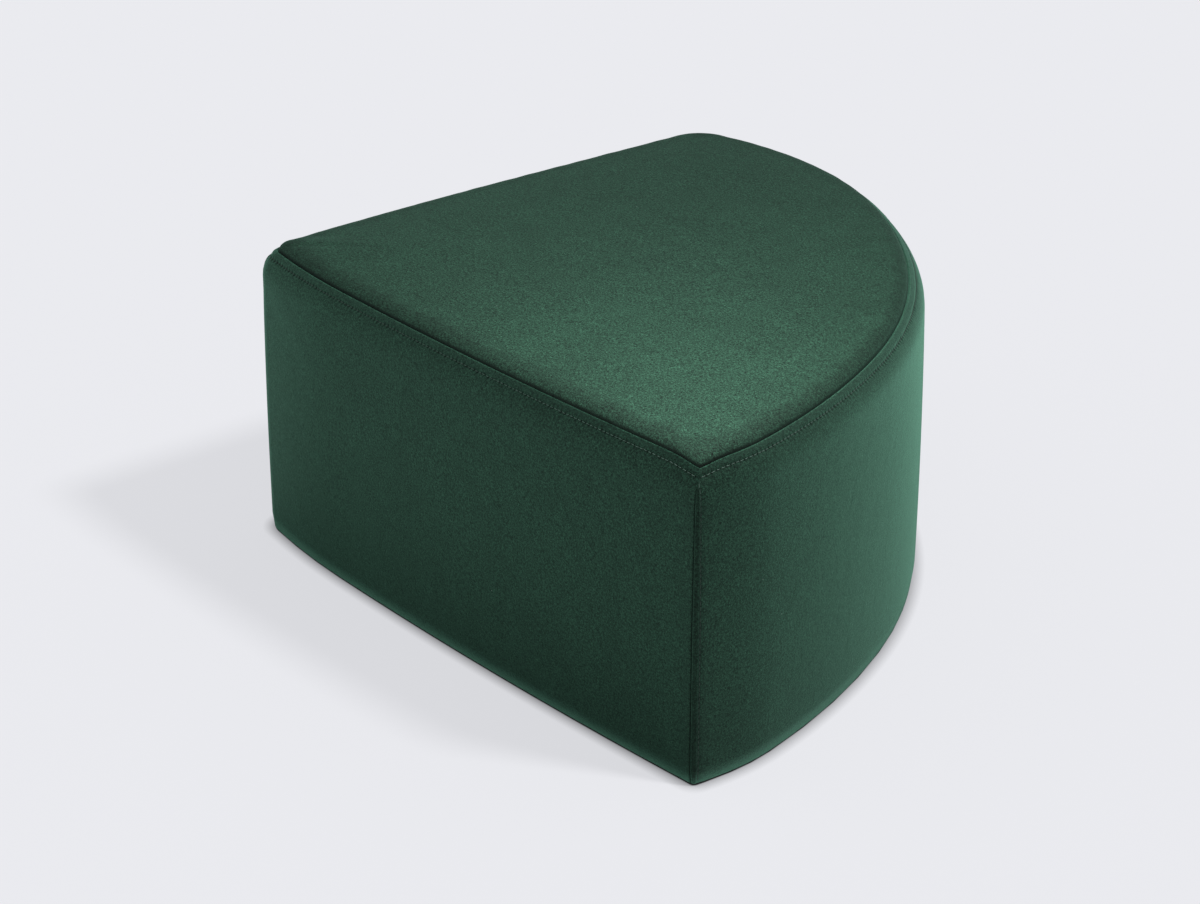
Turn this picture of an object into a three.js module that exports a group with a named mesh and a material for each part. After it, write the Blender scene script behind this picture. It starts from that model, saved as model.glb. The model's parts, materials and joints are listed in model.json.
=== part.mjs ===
// Half-moon pouf: a filled floor seat in velvet, with one flat front and one long curved side.
// The filled body carries four sewn cover pieces: a crowned top, a flat front, one long side band
// that runs from the right corner round the back to the left corner, and a base.
// Millimetres, +Z up. The flat front looks along -Y, the floor is Z = 0, and the origin is the
// middle of the box around the footprint.
import * as THREE from 'three';

// Heights above the floor
const TOP_SEAM_HEIGHT = 314.8;
const EDGE_RISE = 10;           // the top panel rises out of its seam in a quarter of an ellipse
const EDGE_REACH = 16;          // how far in from the seam that rise spreads
const MIDDLE_RISE = 5;          // further rise of the crown to the middle of the top

// The wall, from the floor to the top seam
const SHOULDER_RADIUS = 28.2;   // the wall turns over to the top on this radius
const SHOULDER_TURN = 66.8;     // degrees of that turn up to the top seam
const BASE_FLARE = 2.2;         // the foot of the wall stands this much further out than its top
const WALL_SWELL = 1.5;         // the filling pushes the middle of the wall out by this
const FOOT_TUCK = 3;            // the foot of the wall turns in to meet the base panel
const FOOT_HEIGHT = 12;         // height of that turn
const CORNER_DIP = 4;           // the seams pull the tip of the right corner down by this
const CORNER_REACH = 25;        // how far from the tip that reaches
const SHARPEST = 1.5;           // a corner's radius never gets smaller than this
const MITRE_REACH = 70;         // along this length a side makes room for its mitred corner

// Cloth and seams
const CLOTH = 2.5;              // velvet on its backing
const GAP = 0.3;                // room between neighbouring pieces
const UNDER_COVER = 0.95;       // room between the cover and the filled body
const LIP_WIDTH = 9.5;          // from a seam to the row of stitches beside it
const LIP_RISE = 1.4;           // the folded seam allowance lifts the cloth over that width
const STITCH_DIP = 0.7;         // the stitches pull the cloth in
const DIP_REACH = 14;           // past here the wall is smooth again

// The outline from above, walked anticlockwise from the seam at the left corner. Each stretch is
// one arc: how far it turns, in degrees, its length, and the number of steps it is drawn in.
const FIRST_HEADING = -48.3;
const OUTLINE = [
  { stretch: 'left corner, front half', turn: 39.4, length: 22.3, steps: 4 },
  { stretch: 'front, left part', turn: 7.9, length: 129.9, steps: 3 },
  { stretch: 'front, right part', turn: 5.2, length: 539.2, steps: 10 },
  { stretch: 'right corner, front part', turn: 19.8, length: 2.1, steps: 1 },
  { stretch: 'right corner, band part', turn: 59.4, length: 6.2, steps: 2 },
  { stretch: 'curved side, beside the corner', turn: 5.5, length: 38.8, steps: 1 },
  { stretch: 'curved side, first bend', turn: 12.5, length: 52.1, steps: 2 },
  { stretch: 'curved side, right part', turn: 15.5, length: 223.6, steps: 4 },
  { stretch: 'curved side, middle part', turn: 38.8, length: 424.5, steps: 9 },
  { stretch: 'curved side, back part', turn: 40.5, length: 283.9, steps: 9 },
  { stretch: 'back corner', turn: 72.5, length: 80.1, steps: 8 },
  { stretch: 'left side, back part', turn: 0.1, length: 218.2, steps: 3 },
  { stretch: 'left side, front part', turn: 3.5, length: 309.4, steps: 4 },
  { stretch: 'left corner, side half', turn: 39.4, length: 22.3, steps: 3 },
];
const RIGHT_SEAM_STRETCH = 4;   // the right corner's seam is where this stretch starts

const radians = THREE.MathUtils.degToRad;

// Walk the outline. Each stretch keeps where it starts, so a point on it is found directly.
function walkOutline() {
  let heading = radians(FIRST_HEADING);
  let distance = 0;
  const spot = new THREE.Vector2();
  const stretches = [];
  for (const { turn, length, steps } of OUTLINE) {
    const bend = radians(turn) / length;
    stretches.push({ start: spot.clone(), heading, distance, bend, length, steps });
    spot.add(alongArc(heading, bend, length));
    heading += radians(turn);
    distance += length;
  }
  return { stretches, length: distance, openEnd: spot };
}

// The step from an arc's start to the point a given length along it
function alongArc(heading, bend, length) {
  const end = heading + bend * length;
  return new THREE.Vector2(
    (Math.sin(end) - Math.sin(heading)) / bend,
    (Math.cos(heading) - Math.cos(end)) / bend,
  );
}

const walk = walkOutline();

// A point on the outline at a distance along it, with the direction that looks out of the pouf.
// The small gap left by rounded numbers at the end of the walk is shared out along it.
function outlineAt(distance) {
  const wrapped = THREE.MathUtils.euclideanModulo(distance, walk.length);
  const arc = walk.stretches.findLast((stretch) => stretch.distance <= wrapped);
  const along = wrapped - arc.distance;
  const heading = arc.heading + arc.bend * along;
  const spot = alongArc(arc.heading, arc.bend, along).add(arc.start);
  spot.addScaledVector(walk.openEnd, -wrapped / walk.length);
  return { spot, out: new THREE.Vector2(Math.sin(heading), -Math.cos(heading)) };
}

// Columns: upright lines of points on the walls, at distances along the outline. The lips beside
// the two upright seams get lines of their own, measured from the seam. aside moves a piece's last
// column off its seam by a little more than half a gap.
const LIP_LINES = [0.25 * LIP_WIDTH, 0.5 * LIP_WIDTH, 0.75 * LIP_WIDTH, LIP_WIDTH, DIP_REACH];
const leftSeam = walk.length;
const rightSeam = walk.stretches[RIGHT_SEAM_STRETCH].distance;

function stepsOf(stretches) {
  return stretches.flatMap(({ distance, length, steps }) =>
    Array.from({ length: steps }, (_, step) => distance + (length * step) / steps));
}

function columnsBetween(firstSeam, distances, lastSeam) {
  return [
    { distance: firstSeam, aside: 0.6 * GAP },
    ...distances.map((distance) => ({ distance, aside: 0 })),
    { distance: lastSeam, aside: -0.6 * GAP },
  ];
}

const frontSteps = stepsOf(walk.stretches.slice(0, RIGHT_SEAM_STRETCH)).slice(1);
const bandSteps = [
  ...LIP_LINES.map((line) => rightSeam + line),
  ...stepsOf(walk.stretches.slice(RIGHT_SEAM_STRETCH)).filter((distance) =>
    distance > rightSeam + DIP_REACH && distance < leftSeam - DIP_REACH),
  ...LIP_LINES.map((line) => leftSeam - line).reverse(),
];
const frontColumns = columnsBetween(0, frontSteps, rightSeam);
const bandColumns = columnsBetween(rightSeam, bandSteps, leftSeam);
const ringColumns = [...frontSteps, rightSeam, ...bandSteps, leftSeam].map((distance) =>
  ({ distance, aside: 0 }));

// The middle of the footprint box, which becomes the origin
const footprint = new THREE.Box2().setFromPoints(
  ringColumns.map(({ distance }) => outlineAt(distance).spot));
const middle = footprint.getCenter(new THREE.Vector2());

// The right corner: where its arc starts and ends, its radius, half its turn, and the direction it
// points in
const corner = (() => {
  const [frontPart, bandPart] = walk.stretches.slice(RIGHT_SEAM_STRETCH - 1, RIGHT_SEAM_STRETCH + 1);
  const end = bandPart.distance + bandPart.length;
  const halfTurn = (frontPart.bend * frontPart.length + bandPart.bend * bandPart.length) / 2;
  const heading = frontPart.heading + halfTurn;
  return {
    start: frontPart.distance,
    end,
    halfTurn,
    radius: (end - frontPart.distance) / (2 * halfTurn),
    out: new THREE.Vector2(Math.sin(heading), -Math.cos(heading)),
  };
})();

// The move in from the outline by an inset. The right corner's arc can only shrink to its sharpest.
// The rest of the inset moves the arc along the corner's middle line, and the sides beside it
// slide away from the corner, as in a mitre.
function insetMove(distance, out, inset) {
  const excess = Math.max(0, inset - (corner.radius - SHARPEST));
  const before = corner.start - distance;
  const after = distance - corner.end;
  if (before <= 0 && after <= 0) {
    return out.clone().multiplyScalar(excess - inset)
      .addScaledVector(corner.out, -excess / Math.cos(corner.halfTurn));
  }
  const away = Math.max(before, after);
  const slide = excess * Math.tan(corner.halfTurn) * Math.max(0, 1 - away / MITRE_REACH);
  const onward = new THREE.Vector2(-out.y, out.x);
  return out.clone().multiplyScalar(-inset).addScaledVector(onward, before > 0 ? -slide : slide);
}

// How far the seams pull the right corner down, at a distance from its tip
function cornerDip(distance, fromSeam) {
  const away = Math.hypot(distance - walk.stretches[RIGHT_SEAM_STRETCH].distance, fromSeam);
  return CORNER_DIP * Math.exp(-((away / CORNER_REACH) ** 2));
}

// A point of the cover: on a column, moved in from the outline by an inset, at a height
function place({ distance, aside }, inset, height) {
  const { spot, out } = outlineAt(distance);
  const onward = new THREE.Vector2(-out.y, out.x);
  const { x, y } = spot.add(insetMove(distance, out, inset)).addScaledVector(onward, aside).sub(middle);
  const dip = cornerDip(distance, 0) * Math.min(1, height / TOP_SEAM_HEIGHT) ** 2;
  return new THREE.Vector3(x, y, height - dip);
}

// Stations: the lines that run round the wall, from its foot to the top seam. Each has its inset
// from the outline, its height, its tilt, which is how far the cloth looks up, and its distance
// to the top seam.
const shoulderHeight = TOP_SEAM_HEIGHT - SHOULDER_RADIUS * Math.sin(radians(SHOULDER_TURN));
const shoulderLength = SHOULDER_RADIUS * radians(SHOULDER_TURN);

function wallStation(height) {
  const share = height / shoulderHeight;
  const tuck = FOOT_TUCK * Math.max(0, 1 - height / FOOT_HEIGHT) ** 2;
  const swell = 4 * WALL_SWELL * share * (1 - share);
  const inset = tuck - swell - BASE_FLARE * (1 - share);
  return { inset, height, tilt: 0, toSeam: shoulderHeight - height + shoulderLength };
}

function shoulderStation(toSeam) {
  const tilt = (shoulderLength - toSeam) / SHOULDER_RADIUS;
  return {
    inset: SHOULDER_RADIUS * (1 - Math.cos(tilt)),
    height: shoulderHeight + SHOULDER_RADIUS * Math.sin(tilt),
    tilt,
    toSeam,
  };
}

const FOOT_LINES = [CLOTH + GAP, 6, FOOT_HEIGHT];
const WALL_SHARES = [0.28, 0.52, 0.76];
const SHOULDER_SHARES = [1, 0.8, 0.6];
const wallStations = [
  ...FOOT_LINES.map(wallStation),
  ...WALL_SHARES.map((share) => wallStation(share * shoulderHeight)),
  ...SHOULDER_SHARES.map((share) => shoulderStation(share * shoulderLength)),
  ...[...LIP_LINES].reverse().map(shoulderStation),
  shoulderStation(0),
];

// How far the outer face stands off the smooth wall at a distance from a seam
function lipRelief(fromSeam) {
  if (fromSeam >= DIP_REACH) return 0;
  if (fromSeam > LIP_WIDTH) {
    return -STITCH_DIP * (DIP_REACH - fromSeam) / (DIP_REACH - LIP_WIDTH);
  }
  const across = fromSeam / LIP_WIDTH;
  return across === 1 ? -STITCH_DIP : LIP_RISE * Math.sqrt(4 * across * (1 - across));
}

// The cover at a column and a station, a depth below its smooth face
function wallPoint(column, station, depth) {
  const inset = station.inset + depth * Math.cos(station.tilt);
  return place(column, inset, station.height - depth * Math.sin(station.tilt));
}

// The top panel: two lines that follow the seam, and then rings that close in on the middle.
// share is a ring's size as a part of the seam's own.
const RING_SHARES = [0.985, 0.965, 0.93, 0.85, 0.6, 0.3];
const topEdge = {
  inset: SHOULDER_RADIUS * (1 - Math.cos(radians(SHOULDER_TURN))) + GAP,
  height: TOP_SEAM_HEIGHT + GAP / 2,
  tilt: radians(SHOULDER_TURN),
};

function crownHeight(share, fromSeam) {
  const left = Math.max(0, 1 - fromSeam / EDGE_REACH);
  const edge = EDGE_RISE * Math.sqrt(1 - left ** 2);
  return topEdge.height + edge + MIDDLE_RISE * (1 - share ** 2);
}

// How far the crown tilts at a distance from its seam
function crownTilt(fromSeam) {
  const left = Math.max(0, 1 - fromSeam / EDGE_REACH);
  return Math.atan((EDGE_RISE * left) / (EDGE_REACH * Math.sqrt(1 - left ** 2)));
}

function topRing(share, depth) {
  return ringColumns.map((column) => {
    const edge = place(column, topEdge.inset, 0);
    const size = edge.length();
    const fromSeam = size * (1 - share);
    const height = crownHeight(share, fromSeam) - cornerDip(column.distance, fromSeam);
    const tilt = crownTilt(fromSeam);
    return edge.multiplyScalar(share - (depth * Math.sin(tilt)) / size)
      .setZ(height - depth * Math.cos(tilt));
  });
}

function topRings(depth) {
  const seamRing = ringColumns.map((column) => wallPoint(column, topEdge, depth));
  return [
    seamRing,
    ...RING_SHARES.map((share) => topRing(share, depth)),
    [new THREE.Vector3(0, 0, crownHeight(0, Infinity) - depth)],
  ];
}

// A closed solid from rings of points that start and end in a single point
function ringSolid(rings) {
  const points = rings.flat();
  const faces = [];
  let first = 0;
  for (let row = 0; row < rings.length - 1; row += 1) {
    const lower = rings[row].length;
    const upper = rings[row + 1].length;
    const next = first + lower;
    const count = Math.max(lower, upper);
    for (let i = 0; i < count; i += 1) {
      const j = (i + 1) % count;
      if (lower > 1) faces.push(first + i, first + j, next + (i % upper));
      if (upper > 1) faces.push(first + (j % lower), next + j, next + i);
    }
    first = next;
  }
  return closedGeometry(points, faces);
}

// A closed strip of cloth: one section after another, each a list of outer and inner points
function stripSolid(sections) {
  const points = sections.flatMap(({ outer, inner }) => [...outer, ...inner]);
  const height = sections[0].outer.length;
  const stride = 2 * height;
  const faces = [];
  const quad = (a, b, c, d) => faces.push(a, b, c, a, c, d);
  for (let column = 0; column < sections.length - 1; column += 1) {
    const here = column * stride;
    const there = here + stride;
    for (let i = 0; i < height - 1; i += 1) {
      quad(here + i, there + i, there + i + 1, here + i + 1);
      quad(there + height + i, here + height + i, here + height + i + 1, there + height + i + 1);
    }
    quad(here + height, there + height, there, here);
    quad(here + height - 1, there + height - 1, there + stride - 1, here + stride - 1);
  }
  const last = (sections.length - 1) * stride;
  for (let i = 0; i < height - 1; i += 1) {
    quad(i, i + 1, height + i + 1, height + i);
    quad(last + i, last + height + i, last + height + i + 1, last + i + 1);
  }
  return closedGeometry(points, faces);
}

function closedGeometry(points, faces) {
  const geometry = new THREE.BufferGeometry().setFromPoints(points);
  geometry.setIndex(faces);
  geometry.computeVertexNormals();
  return geometry;
}

// The filled body, just under the cover, with its crown, its shoulder and its drawn-in foot
function filledBody() {
  const depth = CLOTH + UNDER_COVER;
  const walls = wallStations.map((station) =>
    ringColumns.map((column) => wallPoint(column, station, depth)));
  return ringSolid([[new THREE.Vector3(0, 0, wallStations[0].height)], ...walls, ...topRings(depth)]);
}

function topPanel() {
  const outer = topRings(0);
  const inner = topRings(CLOTH);
  return ringSolid([...inner.reverse(), ...outer]);
}

// A wall panel between two seams. Only the side band has lips along its upright seams.
function wallPanel(columns, hasUprightLips) {
  const first = columns[0].distance;
  const last = columns.at(-1).distance;
  const sections = columns.map((column) => {
    const toUpright = Math.min(column.distance - first, last - column.distance);
    const upright = hasUprightLips ? lipRelief(toUpright) : 0;
    const outer = wallStations.map((station) => {
      const along = lipRelief(station.toSeam);
      const relief = Math.max(along, upright) > 0 ? Math.max(along, upright) : Math.min(along, upright);
      return wallPoint(column, station, -relief);
    });
    const inner = wallStations.map((station) => wallPoint(column, station, CLOTH));
    return { outer, inner };
  });
  return stripSolid(sections);
}

// The base: a flat sheet on the floor, its rim just inside the foot of the walls
function basePanel() {
  const rimInset = wallStations[0].inset + GAP;
  const rim = (inset, height) => ringColumns.map((column) => place(column, inset, height));
  return ringSolid([
    [new THREE.Vector3(0, 0, 0)],
    rim(rimInset + CLOTH / 2, 0),
    rim(rimInset, CLOTH / 2),
    rim(rimInset + CLOTH / 4, CLOTH),
    [new THREE.Vector3(0, 0, CLOTH)],
  ]);
}

const velvet = { color: 0x2f5a48, roughness: 0.85, metalness: 0 };
const baseCloth = { color: 0x1f2422, roughness: 0.95, metalness: 0 };

const pouf = new THREE.Group();

function addPiece(name, geometry, look) {
  const piece = new THREE.Mesh(geometry, new THREE.MeshStandardMaterial(look));
  piece.name = name;
  pouf.add(piece);
}

addPiece('filled_body', filledBody(), velvet);
addPiece('top_panel', topPanel(), velvet);
addPiece('front_panel', wallPanel(frontColumns, false), velvet);
addPiece('side_band', wallPanel(bandColumns, true), velvet);
addPiece('base_panel', basePanel(), baseCloth);

export default pouf;
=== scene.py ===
# %% [markdown]
# The half-moon pouf: a filled floor seat in dark green velvet. Its cover is cut from a top panel,
# a flat front, one long side band and a base, and every seam is stitched down on its wall side.
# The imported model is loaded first. It says where each piece lies, and nothing here moves it.

# %% The frame
import json
import math

import bpy
import numpy as np
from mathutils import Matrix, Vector

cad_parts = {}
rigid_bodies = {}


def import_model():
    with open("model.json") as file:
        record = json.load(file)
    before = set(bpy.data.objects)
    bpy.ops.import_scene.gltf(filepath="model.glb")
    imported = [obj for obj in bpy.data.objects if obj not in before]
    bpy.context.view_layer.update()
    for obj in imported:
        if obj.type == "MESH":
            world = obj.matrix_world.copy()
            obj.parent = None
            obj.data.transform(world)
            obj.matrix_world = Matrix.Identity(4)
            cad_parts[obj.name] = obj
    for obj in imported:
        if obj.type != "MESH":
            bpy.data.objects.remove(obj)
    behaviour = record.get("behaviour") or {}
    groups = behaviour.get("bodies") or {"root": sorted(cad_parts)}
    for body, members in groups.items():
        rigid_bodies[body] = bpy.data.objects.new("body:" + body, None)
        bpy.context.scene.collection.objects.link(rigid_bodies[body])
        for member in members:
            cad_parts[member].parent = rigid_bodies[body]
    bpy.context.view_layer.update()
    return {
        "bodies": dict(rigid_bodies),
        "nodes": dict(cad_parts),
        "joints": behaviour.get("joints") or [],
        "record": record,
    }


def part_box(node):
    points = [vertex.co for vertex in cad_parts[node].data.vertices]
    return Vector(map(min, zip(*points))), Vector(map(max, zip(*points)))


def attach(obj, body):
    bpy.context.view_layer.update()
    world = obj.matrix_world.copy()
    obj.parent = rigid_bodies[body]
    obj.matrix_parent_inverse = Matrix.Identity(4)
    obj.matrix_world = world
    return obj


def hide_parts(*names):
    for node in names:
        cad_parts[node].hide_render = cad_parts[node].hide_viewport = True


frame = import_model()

MM = 0.001

# %% [markdown]
# The camera comes first, because every later choice is judged through it. The photo was taken with
# a long lens from above the right corner. Its place was found by fitting the outline and the seams,
# and is kept here as a tripod: where it stands, which way it looks and how long its lens is.

# %% The camera
CAMERA_SPOT = (2.1158, -1.8516, 1.4338)
CAMERA_AZIMUTH = 50.87
CAMERA_PITCH = 25.08
LENS = 90.0
SENSOR_WIDTH = 36.0

camera_data = bpy.data.cameras.new("camera")
camera_data.lens = LENS
camera_data.sensor_width = SENSOR_WIDTH
camera = bpy.data.objects.new("camera", camera_data)
camera.location = CAMERA_SPOT
camera.rotation_euler = (math.radians(90 - CAMERA_PITCH), 0, math.radians(CAMERA_AZIMUTH))
bpy.context.scene.collection.objects.link(camera)
bpy.context.scene.camera = camera

# %% [markdown]
# Seen from above, the cover follows one closed outline of tangent arcs. It is walked anticlockwise
# from the seam at the left corner, and each row says how far the walk turns and how long it is.
# A point anywhere on the outline is then a function of one number, the distance walked.

# %% The outline
FIRST_HEADING = math.radians(-48.3)
OUTLINE = [
    ("left corner, front half", 39.4, 22.3),
    ("front, left part", 7.9, 129.9),
    ("front, right part", 5.2, 539.2),
    ("right corner, front part", 19.8, 2.1),
    ("right corner, band part", 59.4, 6.2),
    ("curved side, beside the corner", 5.5, 38.8),
    ("curved side, first bend", 12.5, 52.1),
    ("curved side, right part", 15.5, 223.6),
    ("curved side, middle part", 38.8, 424.5),
    ("curved side, back part", 40.5, 283.9),
    ("back corner", 72.5, 80.1),
    ("left side, back part", 0.1, 218.2),
    ("left side, front part", 3.5, 309.4),
    ("left corner, side half", 39.4, 22.3),
]
RIGHT_SEAM_ROW = 4

turns = np.radians([turn for _, turn, _ in OUTLINE])
lengths = MM * np.array([length for _, _, length in OUTLINE])
bends = turns / lengths
distances = np.concatenate([[0], np.cumsum(lengths)])
headings = FIRST_HEADING + np.concatenate([[0], np.cumsum(turns)])
OUTLINE_LENGTH = distances[-1]
RIGHT_SEAM = distances[RIGHT_SEAM_ROW]


def along_arc(heading, bend, length):
    """The step along an arc: (sin(h + b L) - sin h) / b and (cos h - cos(h + b L)) / b."""
    end = heading + bend * length
    step = np.stack([np.sin(end) - np.sin(heading), np.cos(heading) - np.cos(end)], -1)
    return step / bend[..., None]


corners = np.concatenate([[[0, 0]], np.cumsum(along_arc(headings[:-1], bends, lengths), axis=0)])


def walk(distance):
    """Spot and outward direction at a distance: arc start plus step along it, and (sin h, -cos h)."""
    distance = np.asarray(distance, float) % OUTLINE_LENGTH
    row = np.clip(np.searchsorted(distances, distance, side="right") - 1, 0, len(OUTLINE) - 1)
    along = distance - distances[row]
    spot = corners[row] + along_arc(headings[row], bends[row], along)
    spot = spot - corners[-1] * (distance / OUTLINE_LENGTH)[..., None]
    heading = headings[row] + bends[row] * along
    return spot, np.stack([np.sin(heading), -np.cos(heading)], -1)


footprint = walk(np.linspace(0, OUTLINE_LENGTH, 4000))[0]
MIDDLE = (footprint.min(axis=0) + footprint.max(axis=0)) / 2
print("outline", round(OUTLINE_LENGTH, 4), "m, right seam at", round(RIGHT_SEAM, 4), "m")

# %% [markdown]
# The right corner is sharper than the shoulder is deep. Its arc can only shrink to its sharpest
# radius. The rest of an inset moves it along the corner's middle line, and the sides beside it
# slide away from the corner, as in a mitre. The seams that meet there also pull its tip down.

# %% The right corner
CORNER_START, CORNER_END = distances[RIGHT_SEAM_ROW - 1], distances[RIGHT_SEAM_ROW + 1]
CORNER_HALF_TURN = (turns[RIGHT_SEAM_ROW - 1] + turns[RIGHT_SEAM_ROW]) / 2
CORNER_HEADING = headings[RIGHT_SEAM_ROW - 1] + CORNER_HALF_TURN
CORNER_OUT = np.array([math.sin(CORNER_HEADING), -math.cos(CORNER_HEADING)])
CORNER_RADIUS = (CORNER_END - CORNER_START) / (2 * CORNER_HALF_TURN)
SHARPEST = 1.5 * MM
MITRE_REACH = 70 * MM
CORNER_DIP = 4 * MM
CORNER_REACH = 25 * MM


def inset_move(distance, out, inset):
    """The move in by an inset: -out inset, and what passes the sharpest arc is shared as in a mitre."""
    excess = np.clip(inset - (CORNER_RADIUS - SHARPEST), 0, None)
    before, after = CORNER_START - distance, distance - CORNER_END
    away = np.maximum(before, after)
    slide = excess * math.tan(CORNER_HALF_TURN) * np.clip(1 - away / MITRE_REACH, 0, 1)
    onward = np.stack([-out[..., 1], out[..., 0]], -1)
    beside = onward * np.where(before > 0, -slide, slide)[..., None] - out * inset[..., None]
    tip_slide = excess / math.cos(CORNER_HALF_TURN)
    tip = -out * (inset - excess)[..., None] - CORNER_OUT * tip_slide[..., None]
    return np.where((away <= 0)[..., None], tip, beside)


def corner_dip(distance, from_seam):
    """How far the seams pull the corner down: dip exp(-(away / reach)^2), away from the corner's tip."""
    away = np.hypot(distance - RIGHT_SEAM, from_seam)
    return CORNER_DIP * np.exp(-((away / CORNER_REACH) ** 2))


# %% [markdown]
# The wall rises from the floor, swells a little over the filling, and turns over a shoulder to the
# top seam. Its profile is a function of the distance down from that seam. Heights come from the
# frame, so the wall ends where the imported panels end.

# %% The wall's profile
SHOULDER_RADIUS = 28.2 * MM
SHOULDER_TURN = math.radians(66.8)
BASE_FLARE = 2.2 * MM
WALL_SWELL = 1.5 * MM
FOOT_TUCK = 3 * MM
FOOT_HEIGHT = 12 * MM
CLOTH = 2.5 * MM

SEAM_HEIGHT = 314.8 * MM
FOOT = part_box("front_panel")[0][2]
SHOULDER_LENGTH = SHOULDER_RADIUS * SHOULDER_TURN
SHOULDER_HEIGHT = SEAM_HEIGHT - SHOULDER_RADIUS * math.sin(SHOULDER_TURN)
WALL_LENGTH = SHOULDER_LENGTH + SHOULDER_HEIGHT - FOOT


def wall_profile(below):
    """Inset, height and tilt below the top seam: the shoulder's R (1 - cos tilt), then the upright wall
    with its swell 4 s (1 - s), its flare and its tucked foot, where s is the share of its height."""
    tilt = np.clip(SHOULDER_LENGTH - below, 0, None) / SHOULDER_RADIUS
    upright = SHOULDER_HEIGHT - np.clip(below - SHOULDER_LENGTH, 0, None)
    share = upright / SHOULDER_HEIGHT
    tuck = FOOT_TUCK * np.clip(1 - upright / FOOT_HEIGHT, 0, None) ** 2
    inset = tuck - 4 * WALL_SWELL * share * (1 - share) - BASE_FLARE * (1 - share)
    inset = inset + SHOULDER_RADIUS * (1 - np.cos(tilt))
    return inset, upright + SHOULDER_RADIUS * np.sin(tilt), tilt


def wall(distance, below, lift=0.0):
    """The wall's point: the spot moved in by inset - lift cos tilt, at height + lift sin tilt - dip."""
    distance, below, lift = np.broadcast_arrays(distance, below, lift)
    spot, out = walk(distance)
    inset, height, tilt = wall_profile(below)
    spot = spot - MIDDLE + inset_move(distance, out, inset - lift * np.cos(tilt))
    height = height + lift * np.sin(tilt) - corner_dip(distance, 0) * (height / SEAM_HEIGHT) ** 2
    return np.concatenate([spot, height[..., None]], -1)


# %% [markdown]
# The top panel is pulled down into its seam. It rises out of it in a quarter of an ellipse, a
# finger wide, and then gently to the middle. Its rings are smaller copies of the seam, so they
# never cross in a corner.

# %% The crown
EDGE_RISE = 10 * MM
EDGE_REACH = 16 * MM
CROWN_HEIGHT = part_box("top_panel")[1][2]
MIDDLE_RISE = CROWN_HEIGHT - SEAM_HEIGHT - EDGE_RISE
SEAM_INSET = SHOULDER_RADIUS * (1 - math.cos(SHOULDER_TURN))
SEAM_GAP = 0.3 * MM


def seam_ring(distance):
    """The seam's spot, and how far its tangent runs from the middle: spot . out."""
    spot, out = walk(distance)
    edge = spot - MIDDLE + inset_move(distance, out, np.full(distance.shape, SEAM_INSET + SEAM_GAP))
    return edge, (edge * out).sum(axis=-1)


CORNER_SIDES = np.array([CORNER_START - 0.01 * MM, CORNER_END + 0.01 * MM])
CORNER_TANGENTS = seam_ring(CORNER_SIDES)[1]


def crown(distance, share, lift=0.0):
    """Ring point at a share of the seam's size. With d the way in from the seam, it rises by
    edge sqrt(1 - (1 - d / reach)^2) + middle (1 - share^2). The tangent is bridged over the corner."""
    distance, share, lift = np.broadcast_arrays(distance, share, lift)
    edge, tangent = seam_ring(distance)
    in_corner = (distance > CORNER_START) & (distance < CORNER_END)
    tangent = np.where(in_corner, np.interp(distance, CORNER_SIDES, CORNER_TANGENTS), tangent)
    inwards = tangent * (1 - share)
    rolled = np.sqrt(1 - (1 - np.clip(inwards / EDGE_REACH, 0, 1)) ** 2)
    rise = EDGE_RISE * rolled + MIDDLE_RISE * (1 - share**2)
    height = SEAM_HEIGHT + rise + lift - corner_dip(distance, inwards)
    return np.concatenate([edge * share[..., None], height[..., None]], -1)


# %% [markdown]
# Each seam is a felled one. The seam allowance is folded under the wall's edge and stitched down,
# so the edge stands up as a lip with a round outer fold, and the row of stitches pulls a small
# valley beside it. The relief is a function of the distance from the seam. Hand-guided sewing is
# never quite even, so a sum of a few random waves lets the lip swell and sink a little along it.
# The upright seams have a narrower and lower lip, and only on the band.

# %% The lips beside the seams
LIP_WIDTH = 9.5 * MM
UPRIGHT_WIDTH = 5.2 * MM
UPRIGHT_SHARE = 0.7
LIP_RISE = 1.0 * MM
FOLD_RADIUS = 1.4 * MM
FOLD_DEPTH = 1.6 * MM
STITCH_DIP = 0.5 * MM
DIP_REACH = 4.5 * MM
STITCH_PITCH = 5.5 * MM
STITCH_TUG = 0.3 * MM
CREASE_DEPTH = 1.8 * MM
CREASE_REACH = 1.5 * MM
PUCKER = 0.16 * MM
PUCKER_LENGTHS = (0.012, 0.07)
FLAT_SHARE = 0.66


def smooth(value):
    """Soft step from 0 to 1: 3 t^2 - 2 t^3."""
    value = np.clip(value, 0, 1)
    return value * value * (3 - 2 * value)


def waves(along, shortest, longest, seed, count=9):
    """Sum of sines of random length and phase, sqrt(2 / count) sum sin(2 pi x / length + phase)."""
    dice = np.random.default_rng(seed)
    lengths = np.exp(dice.uniform(math.log(shortest), math.log(longest), count))
    phases = dice.uniform(0, 2 * np.pi, count)
    along = np.asarray(along, float)[..., None]
    return np.sin(2 * np.pi * along / lengths + phases).sum(axis=-1) * math.sqrt(2 / count)


def fold(from_seam):
    """A quarter round that drops to the seam: 0 past the fold, and its depth below that at the seam."""
    share = np.clip(from_seam / FOLD_RADIUS, 0, 1)
    return (np.sqrt(1 - (1 - share) ** 2) - 1) * FOLD_DEPTH


def valley(along):
    """Depth of the valley along a row of stitches: the dip, and the pucker's waves."""
    return STITCH_DIP + PUCKER * waves(along, *PUCKER_LENGTHS, 3)


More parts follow.
